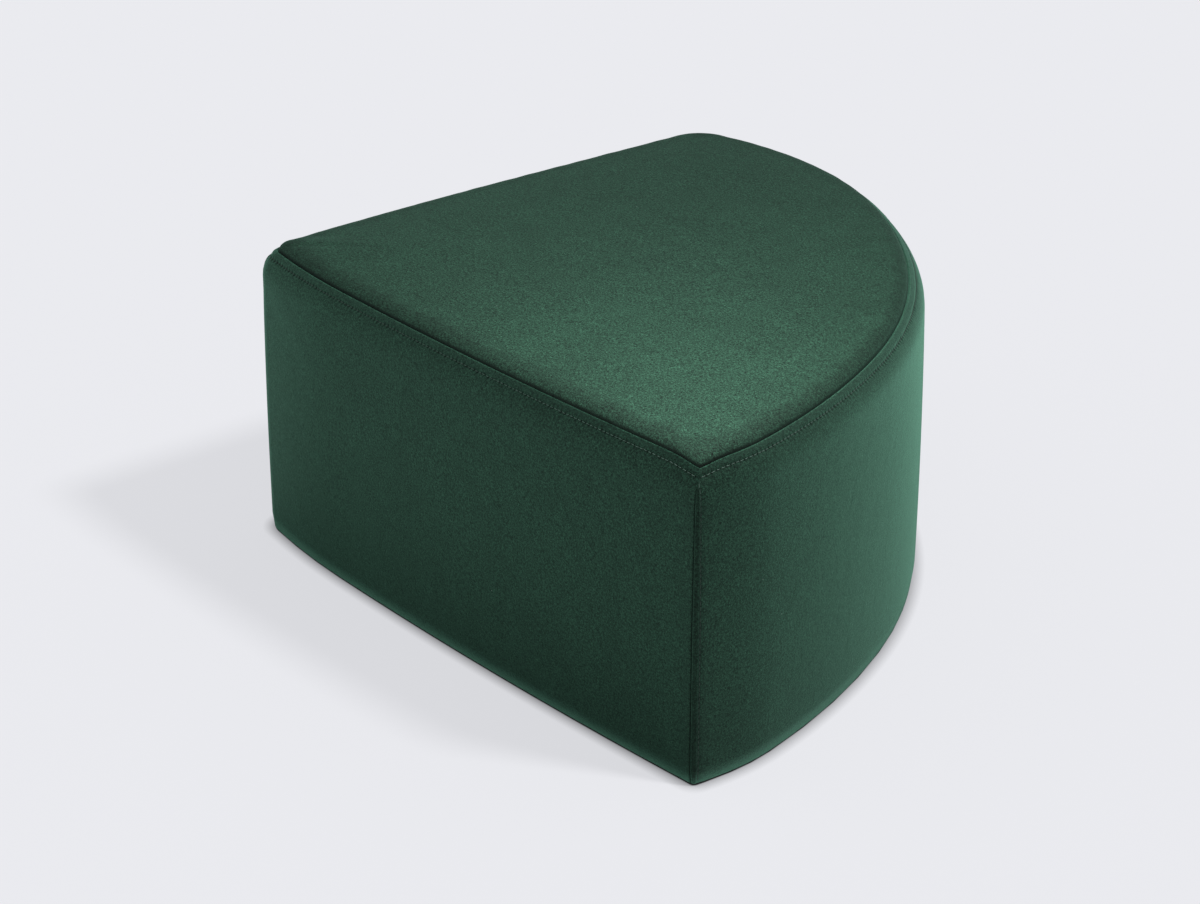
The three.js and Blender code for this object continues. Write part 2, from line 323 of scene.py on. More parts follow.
def lip(from_seam, along, width, tug):
    """Lift beside a seam: the fold, a flat lip, then a valley at its width that each stitch deepens."""
    rise = LIP_RISE * np.sqrt(1 - (1 - np.clip(from_seam / FOLD_RADIUS, 0, 1)) ** 2)
    dip = valley(along) + tug * np.cos(2 * np.pi * along / STITCH_PITCH)
    drop = (LIP_RISE + dip) * smooth((from_seam - FLAT_SHARE * width) / ((1 - FLAT_SHARE) * width))
    back = dip * smooth((from_seam - width) / DIP_REACH)
    return fold(from_seam) + rise - drop + back


# %% [markdown]
# The stitches are evenly spaced along their own row, which is shorter than the outline in the
# corners. A table of the row's length gives the distance of any stitch, and the other way round.

# %% Along the stitch row
track = np.linspace(0, OUTLINE_LENGTH, 2400)
track_steps = np.linalg.norm(np.diff(wall(track, LIP_WIDTH), axis=0), axis=1)
track_length = np.concatenate([[0], np.cumsum(track_steps)])


def row_length(distance):
    """Length of the stitch row at a distance along the outline, read from the table."""
    return np.interp(distance, track, track_length)


def row_distance(length):
    """Distance along the outline at a length of the stitch row: the same table read backwards."""
    return np.interp(length, track_length, track)


# %% [markdown]
# Every mesh here is made from rings or loops of points. The helpers below join them with faces, and
# hang named numbers on the points, which the velvet reads later.

# %% Mesh helpers
def mesh_object(name, points, faces, **numbers):
    """A smooth mesh object from points and faces, with one number a point for each name given."""
    mesh = bpy.data.meshes.new(name)
    mesh.from_pydata(points.tolist(), [], faces)
    mesh.shade_smooth()
    for key, values in numbers.items():
        attribute = mesh.attributes.new(key, "FLOAT", "POINT")
        attribute.data.foreach_set("value", np.ravel(values).astype("f"))
    piece = bpy.data.objects.new(name, mesh)
    bpy.context.scene.collection.objects.link(piece)
    print(name, len(mesh.vertices), "points", len(mesh.polygons), "faces")
    return piece


def swept_faces(columns, count):
    """Quads between closed loops, and a flat face over the first and the last loop."""
    index = np.arange(columns * count).reshape(columns, count)
    onward = np.roll(index, -1, axis=1)
    quads = np.stack([index[:-1], index[1:], onward[1:], onward[:-1]], -1).reshape(-1, 4)
    return quads.tolist() + [index[0].tolist(), index[-1][::-1].tolist()]


def ring_faces(counts):
    """Faces between closed rings of these sizes. Where the size changes, a face takes in more points."""
    faces, first = [], 0
    for count, after in zip(counts[:-1], counts[1:]):
        steps = min(count, after) if min(count, after) > 1 else max(count, after)
        step = np.arange(steps)[:, None]

        def side(size, start):
            if size == 1:
                return np.full((steps, 1), start)
            part = size // steps
            return start + (np.arange(part + 1)[None] + step * part) % size

        both = [side(count, first), side(after, first + count)[:, ::-1]]
        faces += np.concatenate(both, axis=1).tolist()
        first += count
    return faces


# %% [markdown]
# The filling comes before its cover. It is one closed form on a coarse grid: a base, the wall and
# the crown. Blender's Cloth blows it up a little while its seams and base are held, as a tight
# filling does, and how far each point moved is kept. It is capped, since firm foam hardly bulges.

# %% The filling
COARSE = 12 * MM
FILLING_DEPTH = 3.5 * MM
PUSH_LIMIT = 2.2 * MM
PUSH_GAIN = 1.6
PRESSURE = 4.0
STIFFNESS = 40
FRAMES = 20


def coarse_lines(first, last):
    """Even lines about a coarse step apart, with both ends."""
    return np.linspace(first, last, round((last - first) / COARSE) + 1)


front_columns = coarse_lines(0, RIGHT_SEAM)[:-1]
band_columns = coarse_lines(RIGHT_SEAM, OUTLINE_LENGTH)[:-1]
columns = np.concatenate([front_columns, band_columns])
below_lines = coarse_lines(0, WALL_LENGTH)
share_lines = np.linspace(0.05, 1, 26)
base_lines = np.array([0.25, 0.5, 0.75, 0.93])

wall_grid = wall(columns[:, None], below_lines[None, :], -FILLING_DEPTH)
crown_grid = crown(columns[:, None], share_lines[None, :-1], -FILLING_DEPTH)
base_rim = wall_grid[:, -1]
base_rings = [base_rim * [share, share, 1] for share in base_lines]
rings = [base_rim.mean(axis=0, keepdims=True) * [0, 0, 1], *base_rings]
rings += [wall_grid[:, i] for i in range(len(below_lines) - 1, -1, -1)]
rings += [crown_grid[:, i] for i in range(len(share_lines) - 2, -1, -1)]
rings += [crown(np.zeros(1), np.zeros(1), -FILLING_DEPTH)]
filling = mesh_object("pouf_filling", np.concatenate(rings), ring_faces([len(ring) for ring in rings]))

count = len(columns)
wall_start = 1 + count * len(base_lines)
crown_start = wall_start + count * len(below_lines)
right_column = np.argmin(np.abs(columns - RIGHT_SEAM))
held = np.zeros(len(filling.data.vertices), bool)
held[:wall_start + count] = True
held[crown_start - count:crown_start] = True
held[wall_start:crown_start].reshape(-1, count)[:, [0, right_column]] = True


def blown_up(piece, held):
    """Where each point was, its normal, and how far pressure moves it: (moved - still) . normal."""
    size = 3 * len(piece.data.vertices)
    still, normal, moved = np.empty(size), np.empty(size, "f"), np.empty(size)
    piece.data.vertices.foreach_get("co", still)
    piece.data.vertex_normals.foreach_get("vector", normal)
    piece.vertex_groups.new(name="held").add(np.flatnonzero(held).tolist(), 1.0, "REPLACE")
    cloth = piece.modifiers.new("cloth", "CLOTH")
    cloth.settings.vertex_group_mass = "held"
    cloth.settings.effector_weights.gravity = 0
    cloth.settings.use_pressure = True
    cloth.settings.uniform_pressure_force = PRESSURE
    cloth.settings.tension_stiffness = STIFFNESS
    cloth.settings.compression_stiffness = STIFFNESS
    cloth.point_cache.frame_end = FRAMES
    for frame in range(1, FRAMES + 1):
        bpy.context.scene.frame_set(frame)
    shaped = piece.evaluated_get(bpy.context.evaluated_depsgraph_get())
    shaped.data.vertices.foreach_get("co", moved)
    piece.modifiers.remove(cloth)
    bpy.context.scene.frame_set(1)
    still, normal, moved = still.reshape(-1, 3), normal.reshape(-1, 3), moved.reshape(-1, 3)
    return still, normal, ((moved - still) * normal).sum(axis=1)


push = np.zeros(held.size)
still, normal, push = blown_up(filling, held)
print("filling blown up by", (push.min() / MM).round(2), "to", (push.max() / MM).round(2), "mm")
push = PUSH_LIMIT * np.tanh(push / max(np.abs(push).max(), MM) * PUSH_GAIN)
filling.data.vertices.foreach_set("co", (still + normal * push[:, None]).ravel())
wall_push = push[wall_start:crown_start].reshape(-1, count)[::-1].T
crown_push = push[crown_start:-1].reshape(-1, count)[::-1].T
crown_push = np.concatenate([crown_push, wall_push[:, :1]], axis=1)


def pushed(grid, lines, distance, line):
    """Bilinear reading of the push at a distance and a line between the coarse ones."""
    distance, line = np.broadcast_arrays(distance, line)
    column = np.interp(distance, np.append(columns, OUTLINE_LENGTH), np.arange(count + 1))
    row = np.interp(line, lines, np.arange(len(lines)))
    left, low = np.floor(column).astype(int), np.clip(np.floor(row).astype(int), 0, len(lines) - 2)
    across, up = column - left, row - low
    left, right = left % count, (left + 1) % count
    lower = grid[left, low] * (1 - across) + grid[right, low] * across
    upper = grid[left, low + 1] * (1 - across) + grid[right, low + 1] * across
    return lower * (1 - up) + upper * up


# %% [markdown]
# The cover is three closed sheets over the imported base. A wall panel is a loop of points, up the
# outer face and down the inner one, carried along the outline and closed by a flat face at both
# seams. Its lines lie close together across the lips, where the relief is, and far apart elsewhere.
# Three numbers ride on the points for the velvet's painted shade and painted highlight: from_seam is the
# distance from the nearest seam, from_row that from the nearest stitches or crease, and from_fold that
# from the top lip's fold.
# On the inner face they are a metre, which is far from everything.

# %% The wall panels
WALL_ROWS = MM * np.array([
    0, 0.2, 0.5, 0.9, 1.4, 2.2, 3.4, 5, 6.3, 7, 7.6, 8.2, 8.8, 9.5, 10.1, 10.8, 11.6, 12.6, 13.7, 15,
    18, 22, 27, 33, 40, 50, 64, 80, 100, 122, 146, 170, 194, 218, 240, 258, 270, 280, 288, 294, 299,
    304])
WALL_ROWS = np.append(WALL_ROWS[WALL_ROWS < WALL_LENGTH - MM], WALL_LENGTH)
INNER_ROWS = np.array([0, 0.06, 0.13, 0.3, 0.6, 1]) * WALL_LENGTH
SEAM_COLUMNS = MM * np.array([
    0, 0.2, 0.5, 0.9, 1.4, 2.2, 3.2, 3.7, 4.1, 4.6, 5.2, 5.7, 6.2, 6.8, 7.5, 8.3, 9.2, 10.2, 11.2])
FINE_STEP = STITCH_PITCH / 5
UPRIGHT_LIP_SHADE_AT = 0.8 * MM
FAR = 1.0


def column_distances(first, last):
    """Even fine steps, with extra lines close to both seams."""
    inner = SEAM_COLUMNS[-1] + FINE_STEP
    even = np.linspace(first + inner, last - inner, round((last - first - 2 * inner) / FINE_STEP))
    return np.concatenate([first + SEAM_COLUMNS, even, last - SEAM_COLUMNS[::-1]])


def wall_panel(name, first, last, upright_lips):
    """One wall panel between two seams, lifted by the filling, the lips and a little unevenness."""
    distance = column_distances(first, last)[:, None]
    below = WALL_ROWS[::-1][None, :]
    to_upright = np.minimum(distance - first, last - distance)
    past_lip = FAR * (below < LIP_WIDTH)
    # from_row marks where shade is painted: along the stitch row and the upright creases.
    from_row = np.minimum(np.abs(below - LIP_WIDTH), to_upright + past_lip)
    lift = lip(below, row_length(distance), LIP_WIDTH, STITCH_TUG)
    lift = lift + pushed(wall_push, below_lines, distance, below)
    if upright_lips:
        clear = smooth((below - 0.8 * LIP_WIDTH) / LIP_WIDTH)
        upright = UPRIGHT_SHARE * lip(to_upright, below, UPRIGHT_WIDTH, 0)
        lift = lift + clear * upright + (1 - clear) * fold(to_upright)
        # The upright lip is held close to a row, so shade is painted over it.
        on_lip = np.where(to_upright < UPRIGHT_WIDTH, UPRIGHT_LIP_SHADE_AT, FAR)
        to_stitches = np.abs(to_upright - UPRIGHT_WIDTH)
        from_row = np.minimum(from_row, np.minimum(to_stitches, on_lip) + past_lip)
    else:
        lift = lift + fold(to_upright)
    outer = wall(distance, below, lift)
    inner = wall(distance, INNER_ROWS[None, :], -CLOTH)
    loops = np.concatenate([outer, inner], axis=1)
    far = np.full(inner.shape[:2], FAR)
    numbers = {
        "from_seam": np.minimum(below, to_upright), "from_row": from_row,
        "from_fold": np.broadcast_to(below, from_row.shape)}
    numbers = {key: np.concatenate([values, far], axis=1) for key, values in numbers.items()}
    return mesh_object(name, loops.reshape(-1, 3), swept_faces(*loops.shape[:2]), **numbers)


front = wall_panel("pouf_front", 0, RIGHT_SEAM, False)
band = wall_panel("pouf_band", RIGHT_SEAM, OUTLINE_LENGTH, True)

# %% [markdown]
# The top panel is made of rings from its seam to its middle. They lie close together at the crease
# of the seam, and twice a ring has only a quarter of the points of the one outside it.

# %% The top panel
RING_STEPS = MM * np.array([
    0, 0.1, 0.3, 0.6, 1, 1.6, 2.4, 3.4, 4.6, 6, 7.6, 9.4, 11.4, 13.6, 16, 20, 26, 34, 44, 56, 70, 88,
    110, 140, 180, 225, 275])
RING_SIZE = 330 * MM
RING_DIVIDERS = {17: 4, 22: 4}
TOP_PUCKER_LENGTHS = (0.02, 0.09)
TOP_PUCKER_REACH = 12 * MM


def top_panel(name):
    """Rings from the seam to the middle, on the outer face, and a few on the inner one."""
    count = 16 * round(OUTLINE_LENGTH / FINE_STEP / 16)
    outer, inner, from_seam = [], [], []
    for i, step in enumerate(RING_STEPS):
        count = count // RING_DIVIDERS.get(i, 1)
        distance = np.arange(count) * OUTLINE_LENGTH / count
        share = 1 - step / RING_SIZE
        crease = -CREASE_DEPTH * math.exp(-step / CREASE_REACH)
        fade = math.exp(-step / TOP_PUCKER_REACH) * smooth(step / MM)
        tug = PUCKER * waves(row_length(distance), *TOP_PUCKER_LENGTHS, 8) * fade
        swell = pushed(crown_push, share_lines, distance, share)
        outer.append(crown(distance, share, crease + tug + swell))
        from_seam.append(np.full(count, step))
        if step == 0 or i in RING_DIVIDERS:
            inner.append(crown(distance, share, -CLOTH - CREASE_DEPTH * (step == 0)))
    centre = crown(np.zeros(1), np.zeros(1), crown_push[:, 0].mean())
    rings = [centre - [0, 0, CLOTH]] + inner[::-1] + outer + [centre]
    inside = sum(len(ring) for ring in inner) + 1
    from_seam = np.concatenate([np.ones(inside), *from_seam, [RING_SIZE]])
    faces = ring_faces([len(ring) for ring in rings])
    # On the top, from_row is the distance from the seam, so shade is painted along its crease.
    return mesh_object(
        name, np.concatenate(rings), faces, from_seam=from_seam, from_row=from_seam, from_fold=from_seam)


top = top_panel("pouf_top")

# %% [markdown]
# The topstitching is one row along the top seam, all the way round, and one row beside each upright
# seam on the band. A stitch is a short arch of two-ply thread whose ends dive into the cloth. All of
# them are the same small tube, placed along its row by three directions: onward, across and out.

# %% The stitches
STITCH_LENGTH = 4.3 * MM
THREAD = 0.42 * MM
STITCH_SINK = 0.62 * MM
STITCH_FLOAT = 0.25 * MM
UPRIGHT_FLOAT = 0.3 * MM
PLY_SWELL = 0.13
PLY_TWIST = 5
THREAD_FLATNESS = 0.8
TUBE_RINGS = 9
TUBE_SIDES = 10


def thread_tube():
    """One stitch: rings at x from -1/2 to 1/2 of radius r (1 + swell cos 2(angle - twist x)), which
    shows two plies. Its ends are pinched to a point, and sunk by (2 x)^4."""
    x = np.linspace(-0.5, 0.5, TUBE_RINGS)[:, None]
    angle = np.linspace(0, 2 * np.pi, TUBE_SIDES, endpoint=False)[None, :]
    pinch = np.sqrt(1 - (1.96 * x) ** 2) * 0.85 + 0.15
    radius = THREAD * pinch * (1 + PLY_SWELL * np.cos(2 * (angle - PLY_TWIST * x)))
    upward = radius * np.sin(angle) * THREAD_FLATNESS - STITCH_SINK * (2 * x) ** 4
    tube = np.broadcast_arrays(x * STITCH_LENGTH, radius * np.cos(angle), upward)
    return np.stack(tube, -1).reshape(-1, 3)


def stitched_row(spots, onward, out, seed):
    """One copy of the tube at every spot: spot + x onward + y across + z out, each a little askew."""
    dice = np.random.default_rng(seed)
    askew = dice.normal(0, 0.05, len(spots))[:, None]
    onward = onward / np.linalg.norm(onward, axis=1, keepdims=True)
    across = np.cross(out, onward)
    onward, across = onward + across * askew, across - onward * askew
    tube = thread_tube()
    x, y, z = tube[:, 0][None, :, None], tube[:, 1][None, :, None], tube[:, 2][None, :, None]
    size = 1 + dice.normal(0, 0.04, len(spots))[:, None, None]
    return spots[:, None] + x * size * onward[:, None] + y * across[:, None] + z * out[:, None]


def surface_frame(distance, below, lift):
    """Spot on the wall with the directions onward, down and out, from small steps along both."""
    step = 0.5 * MM
    spot = wall(distance, below, lift)
    onward = wall(distance + step, below, lift) - wall(distance - step, below, lift)
    down = wall(distance, below + step, lift) - wall(distance, below - step, lift)
    onward = onward / np.linalg.norm(onward, axis=1, keepdims=True)
    down = down / np.linalg.norm(down, axis=1, keepdims=True)
    return spot, onward, down, np.cross(onward, down)


def stitch_rows():
    """The points of every stitch: the row round the top, and the two upright rows on the band."""
    seams = row_length(np.array([0, RIGHT_SEAM, OUTLINE_LENGTH]))
    lengths = (np.arange(round(seams[2] / STITCH_PITCH)) + 0.5) * STITCH_PITCH
    lengths = lengths[np.min(np.abs(lengths[:, None] - seams), axis=1) > 0.5 * STITCH_PITCH]
    distance = row_distance(lengths)
    lift = pushed(wall_push, below_lines, distance, LIP_WIDTH) - valley(lengths) + STITCH_FLOAT
    spot, onward, _, out = surface_frame(distance, np.full_like(distance, LIP_WIDTH), lift)
    rows = [stitched_row(spot, onward, out, 11)]
    below = np.arange(LIP_WIDTH + 1.2 * STITCH_PITCH, WALL_LENGTH - STITCH_PITCH, STITCH_PITCH)
    for seed, distance in ((12, RIGHT_SEAM + UPRIGHT_WIDTH), (13, OUTLINE_LENGTH - UPRIGHT_WIDTH)):
        distance = np.full_like(below, distance)
        lift = pushed(wall_push, below_lines, distance, below) - valley(below) + UPRIGHT_FLOAT
        spot, _, down, out = surface_frame(distance, below, lift)
        rows.append(stitched_row(spot, down, out, seed))
    return np.concatenate(rows)


stitches = stitch_rows()
tube_faces = np.array(ring_faces([TUBE_SIDES] * TUBE_RINGS))
offsets = np.arange(len(stitches)) * TUBE_RINGS * TUBE_SIDES
tube_quads = (offsets[:, None, None] + tube_faces).reshape(-1, 4).tolist()
cap = np.arange(TUBE_SIDES)
first_caps = (offsets[:, None] + cap[::-1]).tolist()
last_caps = (offsets[:, None] + cap + (TUBE_RINGS - 1) * TUBE_SIDES).tolist()
tube_ends = first_caps + last_caps
thread = mesh_object("pouf_stitches", stitches.reshape(-1, 3), tube_quads + tube_ends)

# %% [markdown]
# Velvet is dark where the pile points at the eye and light where it lies over. The shader's sheen
# gives that edge light. The rest is colour: a fine grain of pile tips, soft clumps and wide brushed
# marks, and painted shade beside each seam, where the cloth is pulled down away from the light. Each
# is a node group that turns object coordinates, or the distance from the seam, into a mask or a height.

# %% Node group helpers
def node_group(name, inputs, outputs):
    """A shader node group with float or vector sockets, returned with its input and output nodes."""
    group = bpy.data.node_groups.new(name, "ShaderNodeTree")
    for label, kind, value in inputs:
        socket = group.interface.new_socket(label, in_out="INPUT", socket_type=kind)
        if value is not None:
            socket.default_value = value
    for label, kind in outputs:
        group.interface.new_socket(label, in_out="OUTPUT", socket_type=kind)
    return group, group.nodes.new("NodeGroupInput"), group.nodes.new("NodeGroupOutput")


def wire(tree, source, target):
    tree.links.new(source, target)


def noise(tree, vector, scale, detail=3.0, roughness=0.6, distortion=0.0):
    """Noise texture value at scale features a metre."""
    node = tree.nodes.new("ShaderNodeTexNoise")
    node.inputs["Scale"].default_value = scale
    node.inputs["Detail"].default_value = detail
    node.inputs["Roughness"].default_value = roughness
    node.inputs["Distortion"].default_value = distortion
    wire(tree, vector, node.inputs["Vector"])
    return node.outputs["Fac"]


def ranged(tree, value, low, high, new_low, new_high, smoothly=False):
    """Map Range: value from low..high to new_low..new_high, clamped."""
    node = tree.nodes.new("ShaderNodeMapRange")
    node.interpolation_type = "SMOOTHSTEP" if smoothly else "LINEAR"
    for key, number in (("From Min", low), ("From Max", high), ("To Min", new_low), ("To Max", new_high)):
        node.inputs[key].default_value = number
    wire(tree, value, node.inputs["Value"])
    return node.outputs["Result"]


def maths(tree, operation, first, second):
    """Math node. Each input is a socket or a number."""
    node = tree.nodes.new("ShaderNodeMath")
    node.operation = operation
    for socket, value in zip(node.inputs, (first, second)):
        if isinstance(value, (int, float)):
            socket.default_value = value
        else:
            wire(tree, value, socket)
    return node.outputs["Value"]


def stretched(tree, vector, scale):
    """The coordinates scaled by a vector, to draw noise out along an axis."""
    node = tree.nodes.new("ShaderNodeVectorMath")
    node.operation = "MULTIPLY"
    node.inputs[1].default_value = scale
    wire(tree, vector, node.inputs[0])
    return node.outputs["Vector"]


def placed(tree, group, **values):
    """A node that uses a group, with its inputs set by name to numbers or sockets."""
    node = tree.nodes.new("ShaderNodeGroup")
    node.node_tree = group
    for key, value in values.items():
        socket = node.inputs[key.replace("_", " ")]
        if isinstance(value, bpy.types.NodeSocket):
            wire(tree, value, socket)
        else:
            socket.default_value = value
    return node


# %% [markdown]
# The pile is the product of four noises, from single tips up to brushed marks as wide as a hand. Each
# swings the shade up and down by its own amount. All but the widest also make the bump's height.

# %% The pile
pile_group, given, result = node_group(
    "pile",
    [("Vector", "NodeSocketVector", None), ("Grain", "NodeSocketFloat", 1.3),
     ("Clumps", "NodeSocketFloat", 0.12), ("Brushing", "NodeSocketFloat", 0.12)],
    [("Shade", "NodeSocketFloat"), ("Height", "NodeSocketFloat")])
place = given.outputs["Vector"]
drawn_out = stretched(pile_group, place, (1.0, 1.0, 0.45))
grain = noise(pile_group, place, scale=1200, detail=2.0, roughness=0.75)
tufts = noise(pile_group, place, scale=520, detail=3.0, roughness=0.7, distortion=0.4)
clumps = noise(pile_group, place, scale=45, detail=3.0, roughness=0.6, distortion=0.6)
brushing = noise(pile_group, drawn_out, scale=7.5, detail=4.0, roughness=0.62, distortion=1.1)
shade = 1.0
for mask, amount in ((grain, "Grain"), (tufts, "Grain"), (clumps, "Clumps"), (brushing, "Brushing")):
    swing = ranged(pile_group, mask, 0.25, 0.75, -1, 1)
    swing = maths(pile_group, "MULTIPLY", swing, given.outputs[amount])
    shade = maths(pile_group, "MULTIPLY", maths(pile_group, "ADD", swing, 1.0), shade)
wire(pile_group, shade, result.inputs["Shade"])
height = maths(pile_group, "ADD", maths(pile_group, "MULTIPLY", grain, 0.5), tufts)
height = maths(pile_group, "ADD", maths(pile_group, "MULTIPLY", clumps, 1.6), height)
wire(pile_group, height, result.inputs["Height"])

# %% [markdown]
# Beside a seam the cloth is pulled down and turns away from the light, so shade is painted there. It
# fades out at a reach that noise makes ragged, from a third of it to one and two thirds.

# %% The painted shade beside a seam
seam_shade_group, given, result = node_group(
    "seam_shade",
    [("Vector", "NodeSocketVector", None), ("Distance", "NodeSocketFloat", 1.0),
     ("Reach", "NodeSocketFloat", 0.02), ("Depth", "NodeSocketFloat", 0.3)],
    [("Shade", "NodeSocketFloat")])
place = given.outputs["Vector"]
ragged = noise(seam_shade_group, place, scale=55, detail=4.0, roughness=0.7, distortion=0.5)
ragged = ranged(seam_shade_group, ragged, 0.2, 0.8, 0.35, 1.65)
reach = maths(seam_shade_group, "MULTIPLY", ragged, given.outputs["Reach"])
inside = maths(seam_shade_group, "DIVIDE", given.outputs["Distance"], reach)
inside = ranged(seam_shade_group, inside, 0.5, 1.5, 1.0, 0.0, True)
dark = maths(seam_shade_group, "MULTIPLY", inside, given.outputs["Depth"])
wire(seam_shade_group, maths(seam_shade_group, "SUBTRACT", 1.0, dark), result.inputs["Shade"])

# %% [markdown]
# A few specks of lint lie on the cloth. Each is the middle of a cell of a Voronoi texture.

# %% Lint
lint_group, given, result = node_group(
    "lint",
    [("Vector", "NodeSocketVector", None), ("Spacing", "NodeSocketFloat", 26.0),
     ("Size", "NodeSocketFloat", 0.012)],
    [("Mask", "NodeSocketFloat")])
cells = lint_group.nodes.new("ShaderNodeTexVoronoi")
wire(lint_group, given.outputs["Vector"], cells.inputs["Vector"])
wire(lint_group, given.outputs["Spacing"], cells.inputs["Scale"])
near = maths(lint_group, "LESS_THAN", cells.outputs["Distance"], given.outputs["Size"])
wire(lint_group, near, result.inputs["Mask"])

# %% [markdown]
# The velvet puts these together. It also has painted shade towards the foot and along the stitches and
# creases, and a painted highlight on the fold of the top lip, where it catches the light. Top and walls
# are the same cloth in two copies. They differ in sheen and in the depth of their painted shade, because
# each is lit by its own lamps.

# %% The velvet
VELVET = (0.0145, 0.043, 0.0265)
LINT = (0.20, 0.26, 0.23, 1)
SHEEN_TINT = (0.40, 1.0, 0.70, 1)
SHEEN_ROUGHNESS = 0.45
FOOT_SHADE_RANGE = (0.0, 0.16)
FOLD_HIGHLIGHT_RANGE = (1.4 * MM, 2.4 * MM)
PILE_BUMP = 0.5 * MM


def tinted(tree, color, shade):
    """The colour multiplied by a shade."""
    node = tree.nodes.new("ShaderNodeVectorMath")
    node.operation = "SCALE"
    node.inputs[0].default_value = color
    wire(tree, shade, node.inputs["Scale"])
    return node.outputs["Vector"]


def point_number(tree, name):
    """A number that the mesh carries on its points."""
    node = tree.nodes.new("ShaderNodeAttribute")
    node.attribute_name = name
    return node.outputs["Fac"]


def bumped(tree, height, strength, distance, shader):
    """Bump from a height, wired to the shader's normal."""
    bump = tree.nodes.new("ShaderNodeBump")
    bump.inputs["Strength"].default_value = strength
    bump.inputs["Distance"].default_value = distance
    wire(tree, height, bump.inputs["Height"])
    wire(tree, bump.outputs["Normal"], shader.inputs["Normal"])


def velvet_material(
        name, *, sheen, seam_shade_reach, seam_shade_depth, foot_shade_depth, crease_shade_range, crease_shade_depth, fold_highlight):
    """Green cut-pile velvet: coloured by the pile, with painted shade by the seams, the stitches and the
    foot, and a painted highlight on the lip's fold.
    """
    material = bpy.data.materials.new(name)
    material.use_nodes = True
    tree = material.node_tree
    shader = tree.nodes["Principled BSDF"]
    coordinates = tree.nodes.new("ShaderNodeTexCoord").outputs["Object"]
    split = tree.nodes.new("ShaderNodeSeparateXYZ")
    wire(tree, coordinates, split.inputs[0])
    pile = placed(tree, pile_group, Vector=coordinates)
    # Painted shade beside the seams.
    zone = placed(
        tree, seam_shade_group, Vector=coordinates, Distance=point_number(tree, "from_seam"),
        Reach=seam_shade_reach, Depth=seam_shade_depth)
    shade = maths(tree, "MULTIPLY", pile.outputs["Shade"], zone.outputs["Shade"])
    # Painted shade towards the foot and along the stitches and creases, and a painted highlight on the
    # lip's fold.
    for value, span, change in (
            (split.outputs["Z"], FOOT_SHADE_RANGE, -foot_shade_depth),
            (point_number(tree, "from_row"), crease_shade_range, -crease_shade_depth),
            (point_number(tree, "from_fold"), FOLD_HIGHLIGHT_RANGE, fold_highlight)):
        shade = maths(tree, "MULTIPLY", shade, ranged(tree, value, *span, 1 + change, 1.0, True))
    lint = placed(tree, lint_group, Vector=coordinates)
    blend = tree.nodes.new("ShaderNodeMix")
    blend.data_type = "RGBA"
    wire(tree, lint.outputs["Mask"], blend.inputs["Factor"])
    wire(tree, tinted(tree, VELVET, shade), blend.inputs["A"])
    blend.inputs["B"].default_value = LINT
    wire(tree, blend.outputs["Result"], shader.inputs["Base Color"])
    bumped(tree, pile.outputs["Height"], 0.55, PILE_BUMP, shader)
    shader.inputs["Roughness"].default_value = 0.85
    shader.inputs["Specular IOR Level"].default_value = 0.15
    shader.inputs["Sheen Weight"].default_value = sheen
    shader.inputs["Sheen Roughness"].default_value = SHEEN_ROUGHNESS
    shader.inputs["Sheen Tint"].default_value = SHEEN_TINT
    return material


# The two copies of the velvet differ in sheen and in painted shade, set for how each is lit.
top_velvet = velvet_material(
    "velvet_top", sheen=0.10, seam_shade_reach=0.019, seam_shade_depth=0.35, foot_shade_depth=0.0,
    crease_shade_range=(0.4 * MM, 1.7 * MM), crease_shade_depth=0.85, fold_highlight=0.0)
wall_velvet = velvet_material(
    "velvet_walls", sheen=0.43, seam_shade_reach=0.016, seam_shade_depth=0.15, foot_shade_depth=0.24,
    crease_shade_range=(0.3 * MM, 1.3 * MM), crease_shade_depth=0.6, fold_highlight=1.4)

# %% [markdown]
# The other finishes are plain and rough: the thread, the foam under the cover and the base cloth.

# %% Thread, filling and base
def simple_material(name, color, roughness, scale, swing, bump_distance):
    """A plain rough material whose colour swings with noise and whose bump follows it."""
    material = bpy.data.materials.new(name)
    material.use_nodes = True
    tree = material.node_tree
    shader = tree.nodes["Principled BSDF"]
    coordinates = tree.nodes.new("ShaderNodeTexCoord").outputs["Object"]
    pattern = noise(tree, coordinates, scale, detail=4.0, roughness=0.65)
    shade = ranged(tree, pattern, 0.25, 0.75, 1 - swing, 1 + swing)
    wire(tree, tinted(tree, color, shade), shader.inputs["Base Color"])
    bumped(tree, pattern, 0.5, bump_distance, shader)
    shader.inputs["Roughness"].default_value = roughness
    return material


thread_material = simple_material("thread", (0.013, 0.04, 0.027), 0.6, 900, 0.25, 0.05 * MM)
foam_material = simple_material("filling", (0.36, 0.33, 0.26), 0.9, 500, 0.15, 0.4 * MM)
base_material = simple_material("base_cloth", (0.014, 0.017, 0.015), 0.9, 700, 0.3, 0.3 * MM)
for piece, material in (
        (front, wall_velvet), (band, wall_velvet), (top, top_velvet), (thread, thread_material),
        (filling, foam_material)):
    piece.data.materials.append(material)
base_panel = frame["nodes"]["base_panel"]
base_panel.data.materials.clear()
base_panel.data.materials.append(base_material)

# %% [markdown]
# Now each piece is tied to the frame: it rides on the one body and stands in for its imported node,
# which is hidden. The filling is a padded piece under the cover panels, softened by one step of
# subdivision. The top seam's loop is also traced in plan.

for piece, node in (
        (filling, "filled_body"), (front, "front_panel"), (band, "side_band"), (top, "top_panel")):
    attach(piece, "root")
    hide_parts(node)
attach(thread, "root")
soften = filling.modifiers.new("soften", "SUBSURF")
soften.levels = soften.render_levels = 1

seam_loop = crown(np.linspace(0, OUTLINE_LENGTH, 2000, endpoint=False), 1.0)[:, :2]

